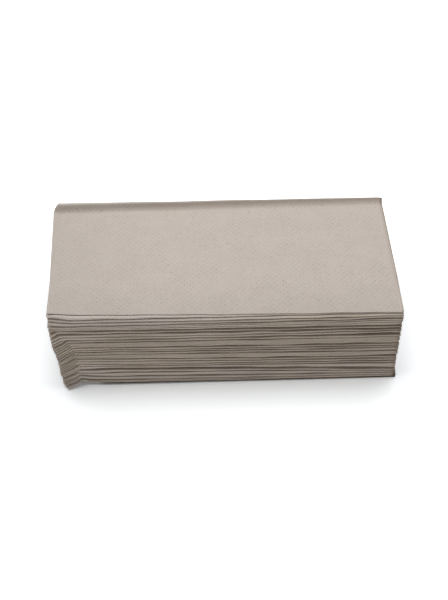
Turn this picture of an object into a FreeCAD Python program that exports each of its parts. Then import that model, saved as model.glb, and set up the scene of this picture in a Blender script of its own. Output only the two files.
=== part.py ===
import FreeCAD, Part

import math
import os

# A bundle of interfolded paper hand towels. Every towel is one sheet folded once
# across its length. Towels fold at the front and at the back in turn, and each fold
# wraps the free edges of the towels before and after it, so that pulling one towel
# out brings the edge of the next with it.
#
# Frame: X along the folds, -Y to the front, +Z up, millimetres. The origin is the
# middle of the footprint, on the surface that the bundle stands on.
#
# The bundle is first laid out flat, as levels h above its base. place() then moves
# every point to where the front edge has sprung open and the corner is crushed.

# Sheet
sheet_width = 250.0          # along the fold
sheet_length = 230.0         # across the fold, open and flat
towel_count = 56
leaf_thickness = 0.40        # one leaf of embossed crepe paper, with its nap
leaf_clearance = 0.21        # air between a leaf and the next
arc_facets = 4               # flat facets round one fold

# Front edge of the bundle, sprung open at the folds
spring_depth = 40.0          # how far in from the front the leaves bend to it
front_height_left = 70.5
front_height_right = 64.5
front_lift_left = 2.0        # the underside curls off the surface
front_lift_right = 0.4
fold_wander = 0.45           # how far a fold strays back from the face
top_setback = 4.0            # the top folds step back from the face
top_setback_folds = 4

# Gaps that have opened above a front fold, which is counted from the top
partings = {6: 0.5, 13: 0.6, 22: 1.0, 25: 0.5}

# Left front corner, crushed on a slanting crease
crush_height = 62.0          # where the crease starts
crush_run = 14.0             # length of fold bent down at the foot of the crease
crush_run_top = 1.5          # and at its head
crush_drop = 5.5             # fall of the bent corner at half height
crush_splay = 3.0            # how far the lowest corners are pushed out to the front
crush_inset = 6.0            # how far they are pushed in from the end

# Free back edge of the top towel, curled up
curl_length = 9.0
curl_angle = 62.0            # degrees turned at the edge
curl_facets = 3

# Derived sizes
layer_count = 2 * towel_count
layer_pitch = leaf_thickness + leaf_clearance
stack_height = (layer_count - 1) * layer_pitch + leaf_thickness
half_width = sheet_width / 2
fold_reach = 1.5 * layer_pitch + leaf_thickness / 2     # from a fold's centre to its nose
half_depth = sheet_length / 4 + fold_reach / 2
spring_line = spring_depth - half_depth                 # Y where the front starts to bend

# Stations along the folds where a section is drawn: the left end, the crease of the
# crushed corner, these shares of the half width, and the right end.
inner_stations = (-0.5, 0.0, 0.5)
station_count = len(inner_stations) + 3


def layer_height(layer):
    """Level of the middle of a layer. Layer 1 is the top."""
    return (layer_count - layer) * layer_pitch + leaf_thickness / 2


def towel_layers(towel):
    """The layers that hold a towel's upper and lower leaf."""
    return max(1, 2 * towel - 2), min(layer_count, 2 * towel + 1)


def folds_in_front(towel):
    return towel % 2 == 1


def wrapping_towel(layer, in_front):
    """The towel whose fold wraps, or lies next to, the free edge of a layer."""
    towel = (layer + 1) // 2
    if folds_in_front(towel) != in_front:
        towel += 1 if towel == 1 else -1
    return towel


def fold_line(towel, station):
    """Y of the centre of a towel's fold at a station."""
    stray = fold_wander * abs(math.sin(2.1 * towel + 1.3 * station))
    if not folds_in_front(towel):
        return half_depth - fold_reach - stray
    order = (towel - 1) / 2
    setback = top_setback * max(0.0, 1 - order / top_setback_folds) ** 1.5
    return setback + fold_reach + stray - half_depth


def along_width(left, right, x):
    """Value at x that runs evenly from the left end to the right end."""
    return left + (right - left) * (x + half_width) / sheet_width


def parting_rise(h):
    """Height that the gaps below a level add at the front edge."""
    rise = 0.0
    for order, gap in partings.items():
        upper_leaf, _ = towel_layers(2 * order - 1)
        if upper_leaf <= layer_count and h > layer_height(upper_leaf) + layer_pitch / 2:
            rise += gap
    return rise


def front_level(x, h):
    """Height of a level at the front edge."""
    lift = along_width(front_lift_left, front_lift_right, x)
    height = along_width(front_height_left, front_height_right, x)
    filled_height = height - lift - parting_rise(stack_height)
    return lift + filled_height * h / stack_height + parting_rise(h)


def crush_share(h):
    """0 at the foot of the crushed corner, 1 at the head of its crease and above."""
    return min(1.0, h / crush_height)


def crease_run(h):
    """Length of fold between the left end and the crease."""
    return crush_run_top + (crush_run - crush_run_top) * (1 - crush_share(h) ** 3)


def corner_shift(h):
    """Move of the left front corner of a level."""
    share = crush_share(h)
    drop = front_lift_left * (1 - share) + crush_drop * 4 * share * (1 - share)
    splay = crush_splay * (1 - share ** 2)
    return FreeCAD.Vector(crush_inset * (1 - share), -splay, -drop)


def place(station, y, h):
    """Point of the finished bundle for a point of the flat one."""
    front_share = max(0.0, (spring_line - y) / spring_depth)
    if station == 0:
        x = -half_width
    elif station == 1:
        # The crease runs from the left edge at the spring line to the front.
        x = crease_run(h) * (front_share or 1) - half_width
    elif station == station_count - 1:
        x = half_width
    else:
        x = half_width * inner_stations[station - 2]
    point = FreeCAD.Vector(x, y, h + front_share * (front_level(x, h) - h))
    if station == 0:
        point += corner_shift(h) * front_share
    return point


def curled_edge():
    """Middle line of the curled strip, from its free edge to where it lies flat."""
    radius = curl_length / math.radians(curl_angle)
    start = top_setback - half_depth + sheet_length / 2 - curl_length
    points = []
    for step in range(curl_facets, -1, -1):
        turn = math.radians(curl_angle) * step / curl_facets
        y = start + radius * math.sin(turn)
        h = layer_height(1) + radius * (1 - math.cos(turn))
        points.append((y, h, (-math.sin(turn), math.cos(turn))))
    return points


def middle_line(towel, station):
    """Middle line of a folded towel as (y, h, outward normal), from its upper free edge."""
    in_front = folds_in_front(towel)
    upper, lower = (layer_height(layer) for layer in towel_layers(towel))
    upper_end, lower_end = (
        fold_line(wrapping_towel(layer, not in_front), station) for layer in towel_layers(towel)
    )
    centre = fold_line(towel, station)
    radius = (upper - lower) / 2
    outwards = -1 if in_front else 1

    points = curled_edge() if towel == 1 else [(upper_end, upper, (0, 1))]
    points.append((spring_line, upper, (0, 1)))
    for step in range(arc_facets + 1):
        turn = math.pi * (0.5 - step / arc_facets)
        normal = (outwards * math.cos(turn), math.sin(turn))
        points.append((centre + radius * normal[0], lower + radius * (1 + normal[1]), normal))
    points.append((spring_line, lower, (0, -1)))
    points.append((lower_end, lower, (0, -1)))
    return points


def section(towel, station):
    """Closed ring of points round a folded towel: its outer side, then its inner side."""
    outer = []
    inner = []
    for y, h, normal in middle_line(towel, station):
        dy = normal[0] * leaf_thickness / 2
        dh = normal[1] * leaf_thickness / 2
        outer.append(place(station, y + dy, h + dh))
        inner.append(place(station, y - dy, h - dh))
    return outer + inner[::-1]


def folded_towel(towel):
    """One folded sheet as a closed solid of flat facets."""
    points = []
    rings = []
    for station in range(station_count):
        ring = section(towel, station)
        rings.append(range(len(points), len(points) + len(ring)))
        points += ring
    facets = []

    def add_quad(a, b, c, d):
        # Every leaf is split the same way, so that neighbours lie close all over.
        if points[a].y > points[b].y:
            facets.extend([(a, b, c), (a, c, d)])
        else:
            facets.extend([(a, b, d), (b, c, d)])

    for near, far in zip(rings, rings[1:]):
        for j, k in zip(range(len(near)), [*range(1, len(near)), 0]):
            add_quad(near[j], near[k], far[k], far[j])
    left_end = rings[0]
    right_end = rings[-1]
    for j in range(len(left_end) // 2 - 1):
        add_quad(left_end[j + 1], left_end[j], left_end[-1 - j], left_end[-2 - j])
        add_quad(right_end[j], right_end[j + 1], right_end[-2 - j], right_end[-1 - j])

    shell = Part.Shape()
    shell.makeShapeFromMesh((points, facets), 0.001)
    solid = Part.Solid(shell).removeSplitter()
    if solid.Volume < 0:
        solid.reverse()
    return solid


towels = [folded_towel(number) for number in range(1, towel_count + 1)]
footprint = FreeCAD.BoundBox()
for towel in towels:
    footprint.add(towel.BoundBox)
to_origin = FreeCAD.Vector(-footprint.Center.x, -footprint.Center.y, -footprint.ZMin)

os.makedirs("parts", exist_ok=True)
for number, towel in enumerate(towels, start=1):
    towel.translate(to_origin)
    towel.exportStep(f"parts/towel_{number:02d}.step")
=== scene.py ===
import math

import bpy
import numpy as np
from mathutils import Matrix, Vector


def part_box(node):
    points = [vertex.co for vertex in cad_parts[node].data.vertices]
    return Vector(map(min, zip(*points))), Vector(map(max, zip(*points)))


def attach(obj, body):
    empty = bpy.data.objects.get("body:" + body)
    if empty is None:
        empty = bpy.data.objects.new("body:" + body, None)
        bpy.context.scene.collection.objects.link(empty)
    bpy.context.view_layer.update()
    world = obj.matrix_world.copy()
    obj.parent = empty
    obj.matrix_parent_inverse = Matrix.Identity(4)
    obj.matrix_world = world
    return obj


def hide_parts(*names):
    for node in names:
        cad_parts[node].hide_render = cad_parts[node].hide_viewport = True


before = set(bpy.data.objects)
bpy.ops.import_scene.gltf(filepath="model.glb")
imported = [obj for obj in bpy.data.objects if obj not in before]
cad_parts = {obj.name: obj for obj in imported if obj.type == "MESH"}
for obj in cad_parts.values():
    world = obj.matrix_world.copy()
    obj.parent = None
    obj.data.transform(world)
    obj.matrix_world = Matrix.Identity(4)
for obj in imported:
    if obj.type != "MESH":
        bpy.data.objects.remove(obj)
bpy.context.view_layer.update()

mm = 0.001
nodeNames = sorted(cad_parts)

# The bundle as it was folded, in millimetres. Each CAD towel stands for two real ones,
# which the bundle really has for its height, so every node gets two sheets here.
bundle = {
    "sheetWidth": 250.0,
    "sheetLength": 230.0,
    "sheetsPerNode": 2,
    "paper": 0.17,              # one ply with its crepe
    "smoothAngle": 60,          # in degrees; the cut edges stay sharp
    "stackHeight": 68.1,        # at the back, where the leaves lie flat
    "leafShort": 1.1,           # a leaf is shorter than the folded depth by this
    "foldLayers": 4,            # leaves between one front fold and the next
    "skew": -0.012,             # endways lean of the plan, per length from front to back
}

halfWidth = bundle["sheetWidth"] / 2
sheetCount = bundle["sheetsPerNode"] * len(nodeNames)
layerCount = 2 * sheetCount
foldLayers = bundle["foldLayers"]
pitch = (bundle["stackHeight"] - bundle["paper"]) / (layerCount - 1)
halfDepth = (bundle["sheetLength"] / 2 + bundle["leafShort"]) / 2
backFace = max(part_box(name)[1][1] for name in nodeNames[1::2]) / mm
bundleY = backFace - halfDepth


def hexColour(text):
    # sRGB hex to the linear values that nodes take
    parts = [int(text[i:i + 2], 16) / 255 for i in (0, 2, 4)]
    return tuple(c / 12.92 if c < 0.04045 else ((c + 0.055) / 1.055) ** 2.4 for c in parts) + (1.0,)


def softField(seed, waves, lengthX, lengthH):
    # smooth noise over the face, about -1 to 1, from a few sine waves near the given lengths
    rng = np.random.default_rng(seed)
    shortest, longest, faintest, fullest = 0.6, 1.7, 0.6, 0.6
    kx = rng.choice([-1, 1], waves) / rng.uniform(shortest, longest, waves) / lengthX
    kh = 1 / rng.uniform(shortest, longest, waves) / lengthH
    phase = rng.uniform(0, 2 * math.pi, waves)
    size = rng.uniform(faintest, 1.0, waves)
    size /= size.sum() * fullest        # the waves seldom all add up

    def field(x, h):
        total = 0.0
        for i in range(waves):
            total = total + size[i] * np.sin(2 * math.pi * (kx[i] * x + kh[i] * h) + phase[i])
        return total

    return field


# Seed, number of waves, and their length along the front and in height, in millimetres
waveField = softField(11, 8, 45.0, 14.0)
recessField = softField(12, 8, 120.0, 7.0)
gapField = softField(13, 6, 65.0, 4.0)
sheetField = softField(14, 6, 60.0, 1.3)
backField = softField(15, 7, 80.0, 9.0)


def sway(number, speed, phase=0):
    # -1 to 1, and uneven from one fold or sheet to the next at a speed of about 1 to 4
    return math.sin(speed * number + phase)


def layerHeight(layer):
    return (layerCount - layer) * pitch + bundle["paper"] / 2


def sheetLayers(sheet):
    # the layers of a sheet's two leaves, counted down from the top
    return max(1, 2 * sheet - 2), min(layerCount, 2 * sheet + 1)


# How the front edge has sprung open
frontEdge = {
    "depth": 40.0,              # the leaves spring up over this length
    "bend": 0.35,               # 0 is a straight rise, 1 a parabola
    "wave": 0.32,               # rise and fall of the folds along it
    "calmHeight": 12.0,         # under this the waves die out towards the floor
    "undercut": 0.3,            # each handful leans in towards the gap under it
    "overhang": 2.4,            # so many times more over the wide gap
    "brow": 0.35,               # and the fold over a gap is tucked in
    "browGap": 0.6,             # as far as that over a gap of this width
    "browMost": 1.3,
    "foot": 1.4,                # under the wide gap the folds come forward, up to this far
    "leastHeight": 0.1,         # of a handful, where its two gaps would meet
}
backEdge = {"depth": 30.0, "wave": 0.25}
gaps = {
    "uneven": 0.42,             # a gap is wider and narrower by about this share,
    "least": 0.3,               # but keeps between these shares of its width
    "most": 1.5,
    "foldStep": 1.3,            # reads the noise further on for each fold
    "wideFold": 47,             # first fold under the wide gap
    "wideFrom": 12.0,           # that gap is narrow up to here from the left end
    "wideRun": 22.0,
}
springLine = frontEdge["depth"] - halfDepth

# From the top: the first fold under a gap, the gap's height on the face and its width,
# both at the left, in the middle and at the right. The first row is the top of the
# bundle, and the last one its underside.
stations = (-100.0, 0.0, 110.0)
partings = [
    (0, (70.4, 67.9, 65.5), (0.0, 0.0, 0.0)),
    (1, (69.65, 66.9, 64.85), (0.0, 0.1, 0.3)),
    (2, (66.9, 65.6, 64.05), (0.5, 0.35, 0.45)),
    (3, (65.1, 64.0, 63.05), (0.5, 0.4, 0.2)),
    (4, (61.6, 61.6, 61.9), (0.55, 0.7, 1.0)),
    (5, (60.3, 60.3, 60.5), (0.15, 0.2, 0.3)),
    (6, (59.2, 58.5, 58.4), (0.1, 0.1, 0.2)),
    (8, (56.7, 55.5, 54.9), (0.72, 1.12, 1.16)),
    (10, (53.6, 52.7, 51.9), (0.72, 1.01, 1.3)),
    (12, (50.4, 49.4, 49.6), (0.27, 0.22, 0.65)),
    (15, (47.2, 46.6, 46.1), (0.63, 0.67, 1.59)),
    (18, (44.8, 43.9, 43.1), (0.54, 0.56, 0.22)),
    (24, (39.3, 37.5, 36.3), (0.45, 0.75, 0.8)),
    (26, (36.9, 35.0, 33.9), (0.14, 0.45, 0.6)),
    (28, (34.6, 32.8, 31.6), (0.36, 0.62, 0.65)),
    (31, (31.8, 30.2, 28.2), (0.14, 0.62, 0.75)),
    (36, (27.5, 24.5, 22.8), (0.54, 0.62, 1.01)),
    (38, (24.9, 22.0, 20.1), (0.14, 0.45, 0.75)),
    (41, (21.3, 19.2, 17.5), (0.23, 0.39, 0.87)),
    (43, (19.3, 17.2, 15.0), (0.36, 0.45, 0.87)),
    (47, (15.6, 13.3, 8.6), (1.4, 1.5, 1.2)),
    (49, (12.0, 10.5, 6.6), (0.3, 0.45, 0.3)),
    (51, (8.6, 6.2, 4.6), (0.5, 0.65, 0.4)),
    (54, (5.0, 3.6, 2.9), (0.8, 0.5, 0.4)),
    (55, (3.4, 2.3, 1.3), (0.5, 0.5, 0.4)),
    (56.25, (1.9, 0.9, 0.4), (0.0, 0.0, 0.0)),
]


def alongFront(values, x):
    # a smooth curve through the values at the three stations
    a, b, c = stations
    left = values[0] * (x - b) * (x - c) / ((a - b) * (a - c))
    middle = values[1] * (x - a) * (x - c) / ((b - a) * (b - c))
    right = values[2] * (x - a) * (x - b) / ((c - a) * (c - b))
    return left + middle + right


def gapWidth(index, x):
    fold, _, widths = partings[index]
    swell = 1 + gaps["uneven"] * gapField(x, fold * gaps["foldStep"])
    width = np.maximum(alongFront(widths, x), 0) * np.clip(swell, gaps["least"], gaps["most"])
    if fold == gaps["wideFold"]:
        opening = (x + halfWidth - gaps["wideFrom"]) / gaps["wideRun"]
        width = width * np.clip(opening, gaps["least"], 1)
    return width


def handful(order):
    # the run of folds between two gaps that a fold belongs to
    return max(i for i in range(len(partings) - 1) if partings[i][0] <= order)


# A fold's section, and how the folds lie in the front and the back face
folds = {
    "reach": 0.42,              # centre of a fold to its outer face
    "squareness": 3.6,          # 2 is round, more is pressed flat
    "tightness": 0.9,           # share of its room that a fold fills
    "forward": 1.0,             # the front folds stand this far out of the folded depth
    "recess": 0.30,             # scatter of the folds behind the face
    "recessMean": 0.5,
    "recessShared": 0.35,       # broad swells that neighbours share
    "recessOwn": 0.45,          # and each fold's own waver
    "sheetStep": 0.61,          # reads the noise further on for each sheet
    "backUneven": 0.45,         # the back folds lie deeper, by up to twice this
}

# The first folds step forward under the top towel: how far each lies behind the face
topSteps = [
    (4.3, 3.7, 3.6), (1.2, 2.4, 3.5), (0.3, 0.7, 1.9), (0.0, 0.0, 0.3),
]

# Towards the left end the first folds rise and lie further back
leftEnd = {"run": 18.0, "curve": 1.3, "rise": 1.6, "riseFolds": 5, "recess": (0.0, 1.9, 1.5, 0.6)}

# The left end of the second fold has strayed out of the bundle
hook = {"fold": 1, "run": 7.0, "most": 1.2, "out": 0.9, "down": 0.9}

# The lowest fold is tucked in, and the leaf under it shows in front, less at the left end
lowest = {
    "fold": 55,
    "tucked": (0.6, 0.6, 1.0),
    "leafPlaces": (-100, -88),
    "leafForward": (0.3, 2.2),
}

# Left front corner, crushed on a slanting crease
crush = {
    "height": 62.0,
    "run": 19.0,                # along the front, on the floor
    "runTop": 2.0,              # and at its top
    "power": 4,                 # more keeps the crush wide up to its top
    "drop": 11.5,               # shift of the very corner: down,
    "dropFoot": 0.35,           # which dies out towards the floor,
    "splay": 2.1,               # forward,
    "inset": 6.4,               # and to the right
    "softness": 0.03,           # of the bend at the crease
    "trim": 0.02,               # taken off the soft bend, so that it ends
    "scatter": 0.07,            # of the crease's place, from fold to fold
    "fan": 0.5,                 # the folds there are shifted unevenly far,
    "stagger": 0.75,            # and every other one further forward
    "staggerFrom": 5,           # more brings it in nearer the crease
    "pinched": 0.70,            # height of a fold there, its four leaves pressed together
    "pinchedLeast": 0.3,        # and at least this share of its room
    "pinchFade": 3,             # more keeps them pressed nearer up to the crease
    "ridge": 3.0,               # beside the crease, the lowest folds rise
    "ridgeWidth": 4.5,
    "ridgeHeight": 14.0,        # below this
    "lowestFold": 54,           # from this one down, the folds are shifted further,
    "lowestShift": 1.7,         # by this
}


def leftShare(x):
    # 1 at the left end, easing to 0
    return np.clip(1 - (x + halfWidth) / leftEnd["run"], 0, 1) ** leftEnd["curve"]


def crushRun(h):
    # length of the crushed corner along the front, by height
    share = np.clip(h / crush["height"], 0, 1)
    return crush["runTop"] + (crush["run"] - crush["runTop"]) * (1 - share ** crush["power"])


def frontLevel(x, layer, order):
    # height of a layer at the front edge
    index = handful(order)
    first, last = partings[index][0], partings[index + 1][0]
    top = alongFront(partings[index][1], x) - gapWidth(index, x) / 2
    bottom = alongFront(partings[index + 1][1], x) + gapWidth(index + 1, x) / 2
    centre = foldLayers * order + (foldLayers - 1) / 2
    room = np.maximum(top - bottom, frontEdge["leastHeight"]) / (last - first)
    fade = crush["pinchFade"]
    crushed = np.clip(fade - fade * (x + halfWidth) / crushRun(layerHeight(centre)), 0, 1)
    fills = folds["tightness"]
    pinched = np.clip(crush["pinched"] / room, crush["pinchedLeast"], fills)
    fills = fills + crushed * (pinched - fills)
    layer = centre + (layer - centre) * fills
    share = (layer - foldLayers * first + 0.5) / (foldLayers * (last - first))
    level = top + (bottom - top) * share
    wave = frontEdge["wave"] * waveField(x, level) * np.clip(level / frontEdge["calmHeight"], 0, 1)
    rise = leftEnd["rise"] * max(0, 1 - order / leftEnd["riseFolds"]) * leftShare(x)
    fromCrease = (x + halfWidth - crush["run"]) / crush["ridgeWidth"]
    low = np.clip(1 - level / crush["ridgeHeight"], 0, 1)
    ridge = crush["ridge"] * np.exp(-fromCrease ** 2) * low
    return level + wave + rise + ridge


def crushShift(x, y, h, order):
    # the corner bends down past a line from the left edge to the front; how far it shifts
    share = np.clip(h / crush["height"], 0, 1)
    scatter = sway(order, 2.4) * sway(order, 0.7, 1)
    run = crushRun(h) * (1 + crush["scatter"] * scatter)
    lowShift = crush["lowestShift"] if order >= crush["lowestFold"] else 0.0
    past = (springLine - y) / frontEdge["depth"] - (x + halfWidth) / (run + 2 * lowShift)
    soft = crush["softness"]
    past = (past + np.sqrt(past ** 2 + soft ** 2)) / 2 - crush["trim"] * soft
    past = np.where(share < 1, np.maximum(past, 0), 0)
    drop = crush["drop"] * (1 - share ** crush["power"]) * share ** crush["dropFoot"]
    stagger = crush["fan"] * sway(order, 4.1) + crush["stagger"] * (-1) ** order
    splay = crush["splay"] * (1 - share ** 2) + lowShift
    inset = crush["inset"] * (1 - share ** 2) + lowShift + crush["fan"] * sway(order, 2.9, 2)
    forward = past * splay + np.clip(crush["staggerFrom"] * past, 0, 1) * stagger
    return past * inset, -forward, -past * drop


def placed(x, y, layer, order):
    # from the flat stack to the finished bundle; every sheet goes through here
    h = layerHeight(layer)
    share = np.clip((springLine - y) / frontEdge["depth"], 0, 1)
    share = frontEdge["bend"] * share ** 2 + (1 - frontEdge["bend"]) * share
    z = h + share * (frontLevel(x, layer, order) - h)
    backShare = np.clip((y - halfDepth + backEdge["depth"]) / backEdge["depth"], 0, 1)
    calm = np.clip(h / frontEdge["calmHeight"], 0, 1)
    z = z + backShare * backEdge["wave"] * backField(x, h) * calm
    dx, dy, dz = crushShift(x, y, h, order)
    x = x + bundle["skew"] * (y + halfDepth)
    if order == hook["fold"]:
        stray = share * np.clip(1 - (x + halfWidth) / hook["run"], 0, hook["most"]) ** 2
        x = x - hook["out"] * stray
        z = z - hook["down"] * stray
    pressed = bundle["paper"] / 2 + (layerCount - layer) * bundle["paper"]
    return x + dx, y + dy, np.maximum(z + dz, pressed)


def foldSetback(order, x):
    # how far behind the face a front fold lies
    back = 0.0
    if order < len(topSteps):
        back = np.maximum(alongFront(topSteps[order], x), 0)
    if order < len(leftEnd["recess"]):
        back = back + leftEnd["recess"][order] * leftShare(x)
    index = handful(order)
    first, last = partings[index][0], partings[index + 1][0]
    if last - first > 1:
        lean = frontEdge["undercut"] * (frontEdge["overhang"] if last == gaps["wideFold"] else 1)
        back = back + lean * (order - first) / (last - first - 1)
    if order == last - 1:
        tuck = np.clip(gapWidth(index + 1, x) / frontEdge["browGap"], 0, frontEdge["browMost"])
        back = back + frontEdge["brow"] * tuck
    if order >= lowest["fold"]:
        back = back + np.maximum(alongFront(lowest["tucked"], x), 0)
    if order >= gaps["wideFold"]:
        foot = frontEdge["foot"] * (order - gaps["wideFold"])
        back = back - foot / (sheetCount / 2 - gaps["wideFold"])
    return back


def foldPlace(sheet, x):
    # Y of a fold's centre; odd sheets fold at the front, even ones at the back
    shared = folds["recessShared"] * recessField(x, layerHeight(2 * sheet))
    own = folds["recessOwn"] * sheetField(x, sheet * folds["sheetStep"])
    stray = folds["recess"] * np.clip(folds["recessMean"] + shared + own, 0, 2)
    if sheet % 2 == 0:
        uneven = 1 + sway(sheet, 1.7) * sway(sheet, 0.9, 2)
        return halfDepth - folds["reach"] - stray - folds["backUneven"] * uneven
    face = -halfDepth - folds["forward"] + folds["reach"]
    return face + stray + foldSetback((sheet - 1) // 2, x)


def wrappingSheet(layer, inFront):
    # the sheet whose fold wraps the free edge of a layer
    sheet = (layer + 1) // 2
    if (sheet % 2 == 1) != inFront:
        sheet += 1 if sheet == 1 else -1
    return sheet


# Rows of vertices down a sheet, from its upper free edge round the fold to its lower one,
# as shares of the depth from the front. They crowd towards the front, where the leaves
# bend, and the top towel has many more, for the curl of its free edge.
leafRows = (1.0, 0.72, 0.45, 0.345, 0.26, 0.17, 0.09, 0.035)
topLeafRows = np.concatenate([np.linspace(1.0, 0.05, 96), [0.03, 0.015]])
noseAngles = (90, 58, 28, 0, -28, -58, -90)     # and round the fold, in degrees
frontBend = 0.3                 # the leaves follow their fold in or out over this share

# Columns of vertices: places from the left end, steps through the crushed corner and on
# from there, and places from the right end. The top towel has closer ones.
cornerEnd = 26
rightRoom = 4.5
columnPlan = {"left": (), "from": 0, "cornerStep": 1.3, "step": 3.2, "right": (3.6, 1.6, 0.0)}
topColumnPlan = {
    "left": (0.0, 0.35, 0.8, 1.4),
    "from": 2,
    "cornerStep": 1.0,
    "step": 1.25,
    "right": (3.2, 2.2, 1.4, 0.8, 0.35, 0.0),
}

# How far the sheets have slipped endways, and where their leaves end
slips = {
    "seed": 500,
    "scatter": 0.55,
    "top": 0.6,                 # the top ones to the right
    "topSheets": 10,
    "foot": 1.2,                # and the ones under the wide gap too, more further down
    "freeEdge": (0.1, 1.2),     # a free edge stops this far short of the fold round it
    "bend": 0.4,                # the leaves of a back fold end this far before its centre
}


def columns(plan):
    # X of the columns of vertices
    corner = np.arange(plan["from"], cornerEnd, plan["cornerStep"])
    middle = np.arange(cornerEnd, 2 * halfWidth - rightRoom, plan["step"])
    right = 2 * halfWidth - np.array(plan["right"])
    return np.concatenate([plan["left"], corner, middle, right]) - halfWidth


def leafPlaces(shares, centre, free, inFront, x):
    # Y of the rows of one leaf, from its free edge to its fold
    places = []
    for share in shares:
        y = np.full_like(x, -halfDepth + 2 * halfDepth * share)
        if inFront and share < frontBend:
            y = y + (centre - (-halfDepth + folds["reach"])) * (1 - share / frontBend)
        places.append(y)
    places[0] = free
    if not inFront:
        places[-1] = np.minimum(places[-1], centre - slips["bend"])
    return places


def sheetRows(sheet):
    # each row of one sheet: its x and y, its layer and the fold it belongs to
    rng = np.random.default_rng(slips["seed"] + sheet)
    slip = slips["scatter"] * rng.uniform(-1, 1)
    wideFold = gaps["wideFold"]
    if sheet <= slips["topSheets"]:
        slip += slips["top"]
    if sheet > 2 * wideFold:
        slip += slips["foot"] * (sheet / 2 - wideFold) / (sheetCount / 2 - wideFold)
    x = columns(topColumnPlan if sheet == 1 else columnPlan) + slip
    inFront = sheet % 2 == 1
    outwards = -1 if inFront else 1
    upper, lower = sheetLayers(sheet)
    centre = foldPlace(sheet, x)
    leaves = []
    for layer in (upper, lower):
        shares = leafRows if inFront else leafRows[::-1]
        if sheet == 1 and layer == upper:
            shares = topLeafRows
        free = foldPlace(wrappingSheet(layer, not inFront), x)
        free = free + outwards * rng.uniform(*slips["freeEdge"])
        if layer == layerCount:
            free = -halfDepth - np.interp(x, lowest["leafPlaces"], lowest["leafForward"])
        places = leafPlaces(shares, centre, free, inFront, x)
        leaves.append([(x, y, layer, layer // foldLayers) for y in places])
    nose = []
    n = folds["squareness"]
    for angle in noseAngles:
        sine = math.sin(math.radians(angle))
        reach = (1 - abs(sine) ** n) ** (1 / n) * (folds["reach"] - bundle["paper"] / 2)
        level = (upper + lower) / 2 - (lower - upper) / 2 * sine
        owner = upper if angle > 0 or inFront else lower
        nose.append((x, centre + outwards * reach, level, owner // foldLayers))
    return leaves[0] + nose + leaves[1][::-1], x


# Free back edge of the top towel: a bend, a nearly upright wall, and a rim that rolls back.
# Pairs are for the left and the right end, in millimetres and degrees.
lip = {
    "start": (-7.7, -6.4),
    "bend": (3.8, 6.0),
    "wall": (2.4, 0.5),
    "roll": (2.7, 0.5),
    "angle": (86.0, 75.0),
    "rollAngle": (105.0, 40.0),
    "ease": 0.6,                # under 1 takes the right end's values on sooner
    "cornerCut": 7.0,           # the edge falls short at the very left end,
    "cornerRun": 4.0,           # over this length
    "edgeY": 2.7,               # the start is measured from this far behind the folded depth
    "from": 0.45,               # share of the depth from which the rows move
    "crowding": 1.7,            # more brings them closer to the free edge
    "sideDroop": (0.1, 0.5),
    "sideRun": 0.9,
}


def alongLip(key, x, ease=1):
    left, right = lip[key]
    return left + (right - left) * ((x + halfWidth) / (2 * halfWidth)) ** ease


def curlLip(points, x):
    # the free back edge of the top towel stands up, and its ends droop a little
    start = alongLip("start", x) + halfDepth + lip["edgeY"]
    bend, wall, roll = (alongLip(key, x, lip["ease"]) for key in ("bend", "wall", "roll"))
    angle = np.radians(alongLip("angle", x, lip["ease"]))
    rollAngle = np.radians(alongLip("rollAngle", x, lip["ease"]))
    cut = lip["cornerCut"] * np.clip(1 - (x + halfWidth) / lip["cornerRun"], 0, 1)
    flatFrom = -halfDepth + 2 * halfDepth * lip["from"]
    wholeLength = start + bend + wall + roll - cut - flatFrom
    fromEnd = np.minimum(x + halfWidth, halfWidth - x)
    droop = np.where(x < 0, *lip["sideDroop"]) * np.exp(-np.maximum(fromEnd, 0) / lip["sideRun"])
    for i, share in enumerate(topLeafRows):
        points[i, :, 2] -= droop
        if share < lip["from"]:
            continue
        reach = 1 - (1 - (share - lip["from"]) / (1 - lip["from"])) ** lip["crowding"]
        path = flatFrom + wholeLength * reach
        past = np.maximum(path - start, 0)
        turn = np.minimum(past, bend) / bend * angle
        up = np.clip(past - bend, 0, wall)
        rolled = np.clip(past - bend - wall, 0, roll)
        lean = angle - rollAngle * rolled / roll / 2
        forward = bend / angle * np.sin(turn) + up * np.cos(angle) + rolled * np.cos(lean)
        rise = bend / angle * (1 - np.cos(turn)) + up * np.sin(angle) + rolled * np.sin(lean)
        points[i, :, 1] = np.where(past > 0, start + forward, path)
        points[i, :, 2] += rise


# Painted shade: the paper is tinted darker and browner in the gap behind a fold, where shade falls, and a
# little on the fold itself. Lengths are in millimetres, and amounts go from 0 to 1.
creaseShading = {
    "distances": (0.6, 1.2, 14.0, 30.0),    # behind the fold
    "amounts": (0.0, 1.0, 0.7, 0.0),
    "places": (-112, -104, -80, 0, 60),     # along the front
    "alongFront": (0.4, 0.3, 0.55, 0.72, 0.95),
    "lowOrders": (36, 44),
    "lowGaps": 0.5,             # light comes up from below into the lowest gaps
    "paleEdge": 0.8,            # the painted shade fades at the cut ends of the sheets
    "edgeShare": 0.25,
    "orders": (0, 12, 20, 34, 48, 56),      # folds, counted down from the top
    "folds": (0.10, 0.12, 0.18, 0.15, 0.02, 0.02),
    "foldReach": 2.5,
    "uneven": 0.8,
    "sheetStep": 0.83,          # reads other noise than the folds' places do
    "sheetStart": 40,
    "foldsRight": 1.1,
    "rightPlaces": (0, 80),
    "brow": 0.10,               # more painted shade on the fold over a gap
    "browGap": 0.7,
    "browMost": 1.3,
    "browRight": 0.3,
    "browRun": 60.0,
    "end": 0.35,                # and painted shade at the right end
    "endRun": 3.0,
    "lowFrom": 48,              # stronger and shorter on the folds under this one
    "lowEnd": 1.0,
    "lowEndRun": 1.5,
    "footFrom": 18.0,           # no painted shade on the lowest towels in the crushed corner
    "leafFrom": 20.0,
    "footRun": 6.0,
    "leafPlaces": (-100, 100),
    "leafAmounts": (1.0, 0.75),             # painted shadow under the bottom towel, along the front
}
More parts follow.
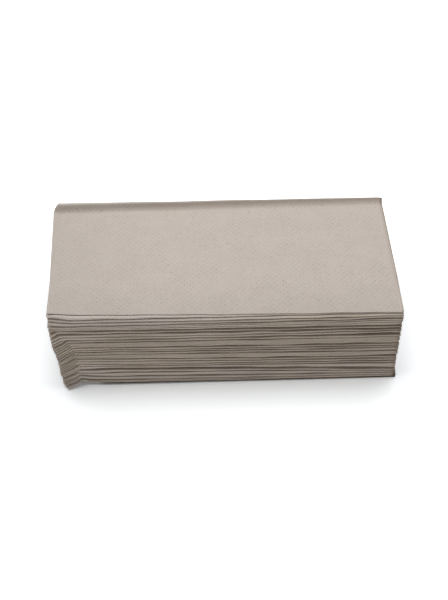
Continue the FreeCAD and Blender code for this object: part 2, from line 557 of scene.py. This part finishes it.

# Painted shade on the top towel, and less painted shade on the ones just under it
topTowelShading = {
    "edge": 0.42,               # a thin painted shade line along its ends
    "edgeReach": 1.12,
    "edgeRun": 0.7,
    # painted shade in its curled back edge
    "lip": 0.03,
    "lipReach": 11.0,
    "lipRun": 4.0,
    "shade": 0.06,              # painted shade, softly darker towards its front and its left end
    "shadeMost": 1.4,
    "shadeDepth": 30.0,
    "shadeLength": 80.0,
    "lessShadeSheets": 12,          # less painted shade down to here, and towards the left
    "lessShadeFrom": 3,
    "lessShadeRun": 6,
    "lessShadeLeft": -20.0,
    "lessShadeLength": 100.0,
    "underSheets": 3,           # and under the first of them, at the left
    "underLeft": -60.0,
    "underLength": 140.0,
}


def gapShade(order, fromFold, x):
    # painted shade: how much darker and browner the paper is made in the gap behind a fold
    amount = np.interp(fromFold, creaseShading["distances"], creaseShading["amounts"])
    amount = amount * np.interp(x, creaseShading["places"], creaseShading["alongFront"])
    fromEnd = np.minimum(x + halfWidth, halfWidth - x)
    amount = amount * np.clip(fromEnd / creaseShading["paleEdge"], creaseShading["edgeShare"], 1)
    return amount * np.interp(order, creaseShading["lowOrders"], (1, creaseShading["lowGaps"]))


def foldTint(sheet, order, x):
    # how much the fold itself is tinted darker and warmer along its length, with painted shade over a gap
    # and at the right end
    amount = np.interp(order, creaseShading["orders"], creaseShading["folds"])
    ownLine = sheet * creaseShading["sheetStep"] + creaseShading["sheetStart"]
    amount = amount * np.clip(1 + creaseShading["uneven"] * sheetField(x, ownLine), 0, 3)
    amount = amount * np.interp(x, creaseShading["rightPlaces"], (1, creaseShading["foldsRight"]))
    under = handful(order) + 1
    if order == partings[under][0] - 1:
        more = 1 + creaseShading["browRight"] * np.clip(x / creaseShading["browRun"], 0, 1)
        opening = np.clip(gapWidth(under, x) / creaseShading["browGap"], 0, creaseShading["browMost"])
        amount = amount + creaseShading["brow"] * more * opening
    low = order > creaseShading["lowFrom"]
    end, run = (creaseShading["lowEnd"], creaseShading["lowEndRun"]) if low else (creaseShading["end"], creaseShading["endRun"])
    return amount + end * np.clip((x - halfWidth + run) / run, 0, 1)


def topTowelShade(fromFold, fromLip, x):
    # painted shade on the upper side of the top towel; below 0 the paper is shaded and not browned
    fromEnd = np.minimum(x + halfWidth, halfWidth - x)
    edge = np.clip((topTowelShading["edgeReach"] - fromEnd) / topTowelShading["edgeRun"], 0, 1)
    curl = np.clip((topTowelShading["lipReach"] - fromLip) / topTowelShading["lipRun"], 0, 1)
    front = np.clip(1 - fromFold / topTowelShading["shadeDepth"], 0, 1)
    left = np.clip(1 - (x + halfWidth) / topTowelShading["shadeLength"], 0, 1)
    shade = np.clip(front + left, 0, topTowelShading["shadeMost"])
    return topTowelShading["edge"] * edge + topTowelShading["lip"] * curl - topTowelShading["shade"] * shade


def paintedCreaseShade(sheet, flat, x):
    # painted shade: 0 on plain paper, a little on a fold, 1 in the gap behind it, and below 0 on the top
    # towel
    order = (sheet - 1) // 2
    foldRow = len(flat) - len(leafRows) - len(noseAngles) // 2 - 1
    fromFold = np.abs(flat[:, :, 1] - flat[foldRow, :, 1]) / mm
    onFold = foldTint(sheet, order, x)
    amount = gapShade(order, fromFold, x)
    amount = amount + onFold[None, :] * np.clip(1 - fromFold / creaseShading["foldReach"], 0, 1)
    if sheet == 1:
        amount[:foldRow] = topTowelShade(fromFold[:foldRow], flat[:foldRow, :, 1] / mm, x)
    elif sheet <= topTowelShading["lessShadeSheets"]:
        amount[:foldRow] *= np.clip((x - topTowelShading["lessShadeLeft"]) / topTowelShading["lessShadeLength"], 0, 1)
        amount[:foldRow] *= np.clip((sheet - topTowelShading["lessShadeFrom"]) / topTowelShading["lessShadeRun"], 0, 1)
    if sheet <= topTowelShading["underSheets"]:
        amount[foldRow:] *= np.clip((x - topTowelShading["underLeft"]) / topTowelShading["underLength"], 0, 1)
    if order >= crush["lowestFold"]:
        amount *= np.clip((x + halfWidth - creaseShading["footFrom"]) / creaseShading["footRun"], 0, 1)
    # the front rows of the lowest leaf get painted shadow, as under a lifted edge
    if sheet == sheetCount:
        underneath = np.interp(x, creaseShading["leafPlaces"], creaseShading["leafAmounts"])
        unshaded = np.clip((x + halfWidth - creaseShading["leafFrom"]) / creaseShading["footRun"], 0, 1)
        amount[-3:] = unshaded * underneath        # the rows nearest to the front
    return amount


def buildSheet(sheet):
    rows, x = sheetRows(sheet)
    points = np.array([np.stack(placed(*row), axis=-1) for row in rows])
    if sheet == 1:
        curlLip(points, x)
    # places on the flat sheet, in metres, for the pattern
    flat = np.zeros(points.shape[:2] + (2,))
    steps = np.linalg.norm(np.diff(points[:, len(x) // 2], axis=0), axis=1)
    flat[:, :, 0] = (x + halfWidth) * mm
    flat[1:, :, 1] = np.cumsum(steps)[:, None] * mm
    if sheet > 1:
        # the rollers pressed each towel in another place
        rng = np.random.default_rng(crepe["seed"] + sheet)
        flat += rng.uniform(0, crepe["dimpleRows"], 2) * mm
    points[:, :, 1] += bundleY
    return points * mm, flat, paintedCreaseShade(sheet, flat, x)


def gridObject(name, rowCount, columnCount):
    bpy.ops.object.select_all(action="DESELECT")
    bpy.ops.mesh.primitive_grid_add(
        x_subdivisions=columnCount - 1, y_subdivisions=rowCount - 1, size=1
    )
    grid = bpy.context.object
    grid.name = name
    return grid


def shapeGrid(grid, points, flat, paintedShade):
    # takes each vertex of a flat grid to its place in the folded sheet
    mesh = grid.data
    rowCount, columnCount = points.shape[:2]
    co = np.zeros(len(mesh.vertices) * 3)
    mesh.vertices.foreach_get("co", co)
    co = co.reshape(-1, 3)
    column = np.rint((co[:, 0] + 0.5) * (columnCount - 1)).astype(int)
    row = np.rint((co[:, 1] + 0.5) * (rowCount - 1)).astype(int)
    mesh.vertices.foreach_set("co", points[row, column].ravel())
    corner = np.zeros(len(mesh.loops), dtype=int)
    mesh.loops.foreach_get("vertex_index", corner)
    uv = flat[row[corner], column[corner]]
    mesh.uv_layers[0].data.foreach_set("uv", uv.ravel())
    shadeAmount = mesh.attributes.new("paintedShade", "FLOAT", "POINT")
    shadeAmount.data.foreach_set("value", paintedShade[row, column])
    mesh.update()


def finishSheet(piece):
    # gives the sheet the thickness of its paper
    bpy.ops.object.select_all(action="DESELECT")
    piece.select_set(True)
    bpy.context.view_layer.objects.active = piece
    wall = piece.modifiers.new("paper", "SOLIDIFY")
    wall.thickness = bundle["paper"] * mm
    wall.offset = 0
    bpy.ops.object.modifier_apply(modifier=wall.name)
    bpy.ops.object.shade_smooth_by_angle(angle=math.radians(bundle["smoothAngle"]))


def addNode(tree, kind, settings=None, links=None):
    node = tree.nodes.new("ShaderNode" + kind)
    for name, value in (settings or {}).items():
        if isinstance(name, int) or name in node.inputs:
            node.inputs[name].default_value = value
        else:
            setattr(node, name, value)
    for name, source in (links or {}).items():
        tree.links.new(source, node.inputs[name])
    return node


# Recycled crepe towel paper, unbleached and embossed: matt, grey-beige, faintly cloudy,
# with dark fibre flecks and rows of small pressed dimples. Sizes are in millimetres.
crepe = {
    "seed": 900,
    "colour": "C1B7AF",
    "cloud": "BEB4AB",
    "cloudSize": 16.667,
    "fleck": "7B6A5C",
    "fleckSpacing": 6.25,
    "fleckRadius": (0.045, 0.075),          # full and faded out, as shares of the spacing
    "fleckRare": 0.64,          # share of the places without a fleck
    # a warm tint wherever there is painted shade
    "foldTone": "FCF8F0",
    "foldToneFull": 0.08,       # the warm tone is all there at this amount of painted shade
    # painted shade in the gaps behind the folds
    "gapShadeTone": "7F7465",
    "fullShadeAt": -0.1,          # amount at which the painted shade below is reached
    "shade": 0.88,
    "dimpleAcross": 4.3,
    "dimpleRows": 4.5,
    "dimpleEdge": (0.35, 0.95),             # of the wave pattern, from rim to bottom
    # painted shade in the dimples
    "dimpleShade": 0.91,
    "patchSize": 33.333,        # the embossing is deeper and flatter in patches,
    "patchDepth": (0.9, 1.3),
    "unevenSize": 3.3333,       # from dimple to dimple,
    "unevenDepth": (0.3, 1.15),
    "rightPlaces": (30.0, 140.0),           # and towards the right
    "rightDepth": (0.85, 1.08),
    "ironedAt": 0.12,           # a fold irons it flat, fully at this amount of painted shade
    "flatDepth": 0.3,
    "ridgeLength": 2.857,       # crepe ridges, coarser than real ones so that they show,
    "ridgeWidth": 0.625,
    "grainSize": 1.3333,        # and so is the grain of the fibres
    "grain": 0.055,
    "mottleSize": 5.0,
    "mottle": 0.022,
    "bumpStrength": 0.8,
    "bumpDepth": 0.16,
    "roughness": 0.92,
    "ior": 1.45,
}


def addEmbossing(tree, inMm, shadeAmount):
    # how deep the paper is pressed, from 0 between the dimples
    split = addNode(tree, "SeparateXYZ", {}, {0: inMm})
    waves = []
    for axis, size in ((0, crepe["dimpleAcross"]), (1, crepe["dimpleRows"])):
        angle = addNode(
            tree, "Math", {"operation": "MULTIPLY", 1: 2 * math.pi / size}, {0: split.outputs[axis]}
        )
        waves.append(addNode(tree, "Math", {"operation": "COSINE"}, {0: angle.outputs[0]}))
    lattice = addNode(
        tree, "Math", {"operation": "MULTIPLY"}, {0: waves[0].outputs[0], 1: waves[1].outputs[0]}
    )
    rim, bottom = crepe["dimpleEdge"]
    dimple = addNode(
        tree, "MapRange",
        {"interpolation_type": "SMOOTHSTEP", "From Min": rim, "From Max": bottom},
        {"Value": lattice.outputs[0]},
    )
    depth = dimple.outputs[0]
    # the noise keeps mostly between 0.35 and 0.65
    for size, noiseRange, (flatter, deeper) in (
        (crepe["patchSize"], (0.35, 0.65), crepe["patchDepth"]),
        (crepe["unevenSize"], (0.35, 0.6), crepe["unevenDepth"]),
    ):
        noise = addNode(tree, "TexNoise", {"Scale": 1 / size, "Detail": 1.0}, {"Vector": inMm})
        share = addNode(
            tree, "MapRange",
            {"From Min": noiseRange[0], "From Max": noiseRange[1], "To Min": flatter, "To Max": deeper},
            {"Value": noise.outputs[0]},
        )
        depth = addNode(
            tree, "Math", {"operation": "MULTIPLY"}, {0: depth, 1: share.outputs[0]}
        ).outputs[0]
    left, right = crepe["rightPlaces"]
    flatter, deeper = crepe["rightDepth"]
    rightwards = addNode(
        tree, "MapRange",
        {
            "interpolation_type": "SMOOTHSTEP",
            "From Min": left, "From Max": right, "To Min": flatter, "To Max": deeper,
        },
        {"Value": split.outputs[0]},
    )
    ironed = addNode(
        tree, "MapRange",
        {"From Max": crepe["ironedAt"], "To Min": 1.0, "To Max": crepe["flatDepth"]},
        {"Value": shadeAmount},
    )
    for share in (rightwards, ironed):
        depth = addNode(
            tree, "Math", {"operation": "MULTIPLY"}, {0: depth, 1: share.outputs[0]}
        ).outputs[0]
    return depth


def addFibres(tree, inMm):
    # the colour of the pulp: two close greys in clouds, with a few dark flecks
    clouds = addNode(
        tree, "TexNoise", {"Scale": 1 / crepe["cloudSize"], "Detail": 3.0}, {"Vector": inMm}
    )
    cloudy = addNode(
        tree, "MapRange", {"From Min": 0.35, "From Max": 0.65}, {"Value": clouds.outputs[0]}
    )
    pulp = addNode(
        tree, "Mix",
        {"data_type": "RGBA", 6: hexColour(crepe["colour"]), 7: hexColour(crepe["cloud"])},
        {0: cloudy.outputs[0]},
    )
    specks = addNode(
        tree, "TexVoronoi", {"Scale": 1 / crepe["fleckSpacing"], "Randomness": 1.0}, {"Vector": inMm}
    )
    full, faded = crepe["fleckRadius"]
    speck = addNode(
        tree, "MapRange", {"From Min": faded, "From Max": full}, {"Value": specks.outputs["Distance"]}
    )
    chosen = addNode(tree, "SeparateColor", {}, {0: specks.outputs["Color"]})
    rare = addNode(
        tree, "Math", {"operation": "GREATER_THAN", 1: crepe["fleckRare"]}, {0: chosen.outputs[0]}
    )
    fleck = addNode(
        tree, "Math", {"operation": "MULTIPLY"}, {0: speck.outputs[0], 1: rare.outputs[0]}
    )
    flecked = addNode(
        tree, "Mix",
        {"data_type": "RGBA", 7: hexColour(crepe["fleck"])},
        {0: fleck.outputs[0], 6: pulp.outputs[2]},
    )
    return flecked.outputs[2]


def addShade(tree, inMm, pressed, shadeAmount):
    # fibres catch the light unevenly, in grains and in soft patches, and a dimple gets painted shade
    shade = addNode(
        tree, "MapRange",
        {"clamp": False, "To Min": 1.0, "To Max": crepe["dimpleShade"]},
        {"Value": pressed},
    )
    # amounts below 0 are a soft painted shade without the tint
    softShade = addNode(
        tree, "MapRange",
        {"From Min": crepe["fullShadeAt"], "From Max": 0.0, "To Min": crepe["shade"], "To Max": 1.0},
        {"Value": shadeAmount},
    )
    factors = [softShade]
    for size, amount in (
        (crepe["grainSize"], crepe["grain"]), (crepe["mottleSize"], crepe["mottle"])
    ):
        noise = addNode(tree, "TexNoise", {"Scale": 1 / size, "Detail": 2.0}, {"Vector": inMm})
        factors.append(addNode(
            tree, "MapRange",
            {"From Min": 0.3, "From Max": 0.7, "To Min": 1 - amount, "To Max": 1 + amount},
            {"Value": noise.outputs[0]},
        ))
    for factor in factors:
        shade = addNode(
            tree, "Math", {"operation": "MULTIPLY"}, {0: shade.outputs[0], 1: factor.outputs[0]}
        )
    return shade.outputs[0]


def makeCrepePaper():
    material = bpy.data.materials.new("recycledCrepePaper")
    material.use_nodes = True
    tree = material.node_tree
    tree.nodes.clear()
    # the UV map holds metres of the flat sheet, and patterns are scaled in millimetres
    uv = addNode(tree, "TexCoord").outputs["UV"]
    inMm = addNode(
        tree, "VectorMath", {"operation": "MULTIPLY", 1: (1 / mm, 1 / mm, 1 / mm)}, {0: uv}
    ).outputs[0]
    # the amount of painted shade on each point of the sheets
    shadeAmount = addNode(tree, "Attribute", {"attribute_name": "paintedShade"}).outputs["Fac"]
    pressed = addEmbossing(tree, inMm, shadeAmount)
    colour = addFibres(tree, inMm)
    shade = addShade(tree, inMm, pressed, shadeAmount)
    slightly = addNode(tree, "MapRange", {"From Max": crepe["foldToneFull"]}, {"Value": shadeAmount})
    foldTone = hexColour(crepe["foldTone"])
    gapShadeTone = hexColour(crepe["gapShadeTone"])
    shaded = addNode(
        tree, "Mix",
        {"data_type": "RGBA", "blend_type": "MULTIPLY", 0: 1.0},
        {6: colour, 7: shade},
    )
    warmed = addNode(
        tree, "Mix",
        {"data_type": "RGBA", "blend_type": "MULTIPLY", 7: foldTone},
        {0: slightly.outputs[0], 6: shaded.outputs[2]},
    )
    # painted shade: the gap tone darkens the paper by the amount on its points
    creaseShaded = addNode(
        tree, "Mix",
        {"data_type": "RGBA", "blend_type": "MULTIPLY", 7: gapShadeTone},
        {0: shadeAmount, 6: warmed.outputs[2]},
    )
    # crepe ridges run across the sheet
    stretched = addNode(
        tree, "Mapping",
        {"Scale": (1 / crepe["ridgeLength"], 1 / crepe["ridgeWidth"], 1.0)},
        {0: inMm},
    )
    ridges = addNode(
        tree, "TexNoise",
        {"Scale": 1.0, "Detail": 3.0, "Roughness": 0.6},
        {"Vector": stretched.outputs[0]},
    )
    relief = addNode(
        tree, "Math", {"operation": "MULTIPLY_ADD", 1: -1.0}, {0: pressed, 2: ridges.outputs[0]}
    )
    bump = addNode(
        tree, "Bump",
        {"Strength": crepe["bumpStrength"], "Distance": crepe["bumpDepth"] * mm},
        {"Height": relief.outputs[0]},
    )
    surface = addNode(
        tree, "BsdfPrincipled",
        {"Roughness": crepe["roughness"], "IOR": crepe["ior"]},
        {"Base Color": creaseShaded.outputs[2], "Normal": bump.outputs[0]},
    )
    output = addNode(tree, "OutputMaterial")
    tree.links.new(surface.outputs[0], output.inputs[0])
    return material


paperMaterial = makeCrepePaper()
print("material ready")

rowCount = 2 * len(leafRows) + len(noseAngles)
flatSheet = gridObject("flatSheet", rowCount, len(columns(columnPlan)))
sheets = []
for sheet in range(1, sheetCount + 1):
    node = nodeNames[(sheet - 1) // bundle["sheetsPerNode"]]
    name = f"{node}_{'ab'[(sheet - 1) % 2]}"
    points, flat, paintedShade = buildSheet(sheet)
    if sheet == 1:
        piece = gridObject(name, points.shape[0], points.shape[1])
    else:
        piece = flatSheet.copy()
        piece.data = flatSheet.data.copy()
        piece.name = name
        bpy.context.scene.collection.objects.link(piece)
    shapeGrid(piece, points, flat, paintedShade)
    finishSheet(piece)
    piece.data.materials.clear()
    piece.data.materials.append(paperMaterial)
    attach(piece, "root")
    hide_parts(node)
    sheets.append(piece)
bpy.data.objects.remove(flatSheet)
print("sheets folded:", len(sheets))

# White seamless paper sweep. To camera rays alone it is brighter, and fades to plain white
# away from the bundle, so that it reads as white while the bundle's shadow stays on it.
# Lengths from here on are in metres.
floorLook = {"size": 6.0, "colour": "F5F8FA", "brighter": 1.52, "fade": (0.28, 0.7)}


def makeFloor():
    bpy.ops.object.select_all(action="DESELECT")
    bpy.ops.mesh.primitive_plane_add(size=floorLook["size"])
    floor = bpy.context.object
    floor.name = "floor"
    material = bpy.data.materials.new("whitePaperSweep")
    material.use_nodes = True
    tree = material.node_tree
    tree.nodes.clear()
    path = addNode(tree, "LightPath")
    paper = hexColour(floorLook["colour"])
    bright = tuple(c * floorLook["brighter"] for c in paper[:3]) + (1.0,)
    shade = addNode(
        tree, "Mix", {"data_type": "RGBA", 6: paper, 7: bright}, {0: path.outputs["Is Camera Ray"]}
    )
    matt = addNode(tree, "BsdfDiffuse", {}, {"Color": shade.outputs[2]})
    white = addNode(tree, "Emission", {"Color": (1.0, 1.0, 1.0, 1.0), "Strength": 1.0})
    place = addNode(tree, "TexCoord").outputs["Object"]
    away = addNode(tree, "VectorMath", {"operation": "LENGTH"}, {0: place})
    near, far = floorLook["fade"]
    fade = addNode(
        tree, "MapRange",
        {"interpolation_type": "SMOOTHSTEP", "From Min": near, "From Max": far},
        {"Value": away.outputs["Value"]},
    )
    seen = addNode(
        tree, "Math", {"operation": "MULTIPLY"}, {0: fade.outputs[0], 1: path.outputs["Is Camera Ray"]}
    )
    mixed = addNode(tree, "MixShader", {}, {0: seen.outputs[0], 1: matt.outputs[0], 2: white.outputs[0]})
    output = addNode(tree, "OutputMaterial")
    tree.links.new(mixed.outputs[0], output.inputs[0])
    floor.data.materials.append(material)


makeFloor()

# One wide soft box overhead and a little behind, a weak white card low in front, and an
# even fill all round
studio = {
    "fill": 0.20,
    "softBox": {"size": (1.8, 1.2), "place": (-0.05, 0.35, 1.15), "power": 17.2},
    "frontCard": {"size": (2.4, 0.6), "place": (0.0, -1.3, 0.30), "power": 5.4},
}


def makeAreaLight(name):
    look = studio[name]
    light = bpy.data.lights.new(name, "AREA")
    light.shape = "RECTANGLE"
    light.size, light.size_y = look["size"]
    light.energy = look["power"]
    lamp = bpy.data.objects.new(name, light)
    turn = Vector(look["place"]).to_track_quat("Z", "Y").to_matrix().to_4x4()
    lamp.matrix_world = Matrix.Translation(look["place"]) @ turn
    bpy.context.scene.collection.objects.link(lamp)


def makeLights():
    makeAreaLight("softBox")
    makeAreaLight("frontCard")
    world = bpy.data.worlds.new("studio")
    bpy.context.scene.world = world
    world.use_nodes = True
    tree = world.node_tree
    tree.nodes.clear()
    path = addNode(tree, "LightPath")
    strength = addNode(
        tree, "Mix", {"data_type": "FLOAT", 2: studio["fill"], 3: 1.0}, {0: path.outputs["Is Camera Ray"]}
    )
    back = addNode(
        tree, "Background", {"Color": (1.0, 1.0, 1.0, 1.0)}, {"Strength": strength.outputs[0]}
    )
    output = addNode(tree, "OutputWorld")
    tree.links.new(back.outputs[0], output.inputs[0])


makeLights()

# The camera looks down on the front, turned a little to the left end. Angles are in
# degrees, and the lens and the sensor in millimetres.
view = {
    "azimuth": -3.09,
    "elevation": 46.1,
    "roll": 0.80,
    "distance": 0.956,
    "aimRight": 0.0016,
    "aimUp": 0.0175,
    "lens": 99.6,
    "sensor": 36.0,
}


def makeCamera():
    azimuth, elevation, roll = (math.radians(view[k]) for k in ("azimuth", "elevation", "roll"))
    right = Vector((math.cos(azimuth), math.sin(azimuth), 0))
    back = Vector((
        math.sin(azimuth) * math.cos(elevation),
        -math.cos(azimuth) * math.cos(elevation),
        math.sin(elevation),
    ))
    up = back.cross(right)
    turnedRight = math.cos(roll) * right + math.sin(roll) * up
    turnedUp = math.cos(roll) * up - math.sin(roll) * right
    camera = bpy.data.objects.new("camera", bpy.data.cameras.new("camera"))
    camera.data.lens = view["lens"]
    camera.data.sensor_width = view["sensor"]
    camera.data.sensor_fit = "HORIZONTAL"
    place = view["distance"] * back + view["aimRight"] * turnedRight + view["aimUp"] * turnedUp
    turn = Matrix((turnedRight, turnedUp, back)).transposed().to_4x4()
    camera.matrix_world = Matrix.Translation(place) @ turn
    bpy.context.scene.collection.objects.link(camera)
    bpy.context.scene.camera = camera


makeCamera()
bpy.context.scene.view_settings.view_transform = "Standard"
print("stage, lights and camera ready")
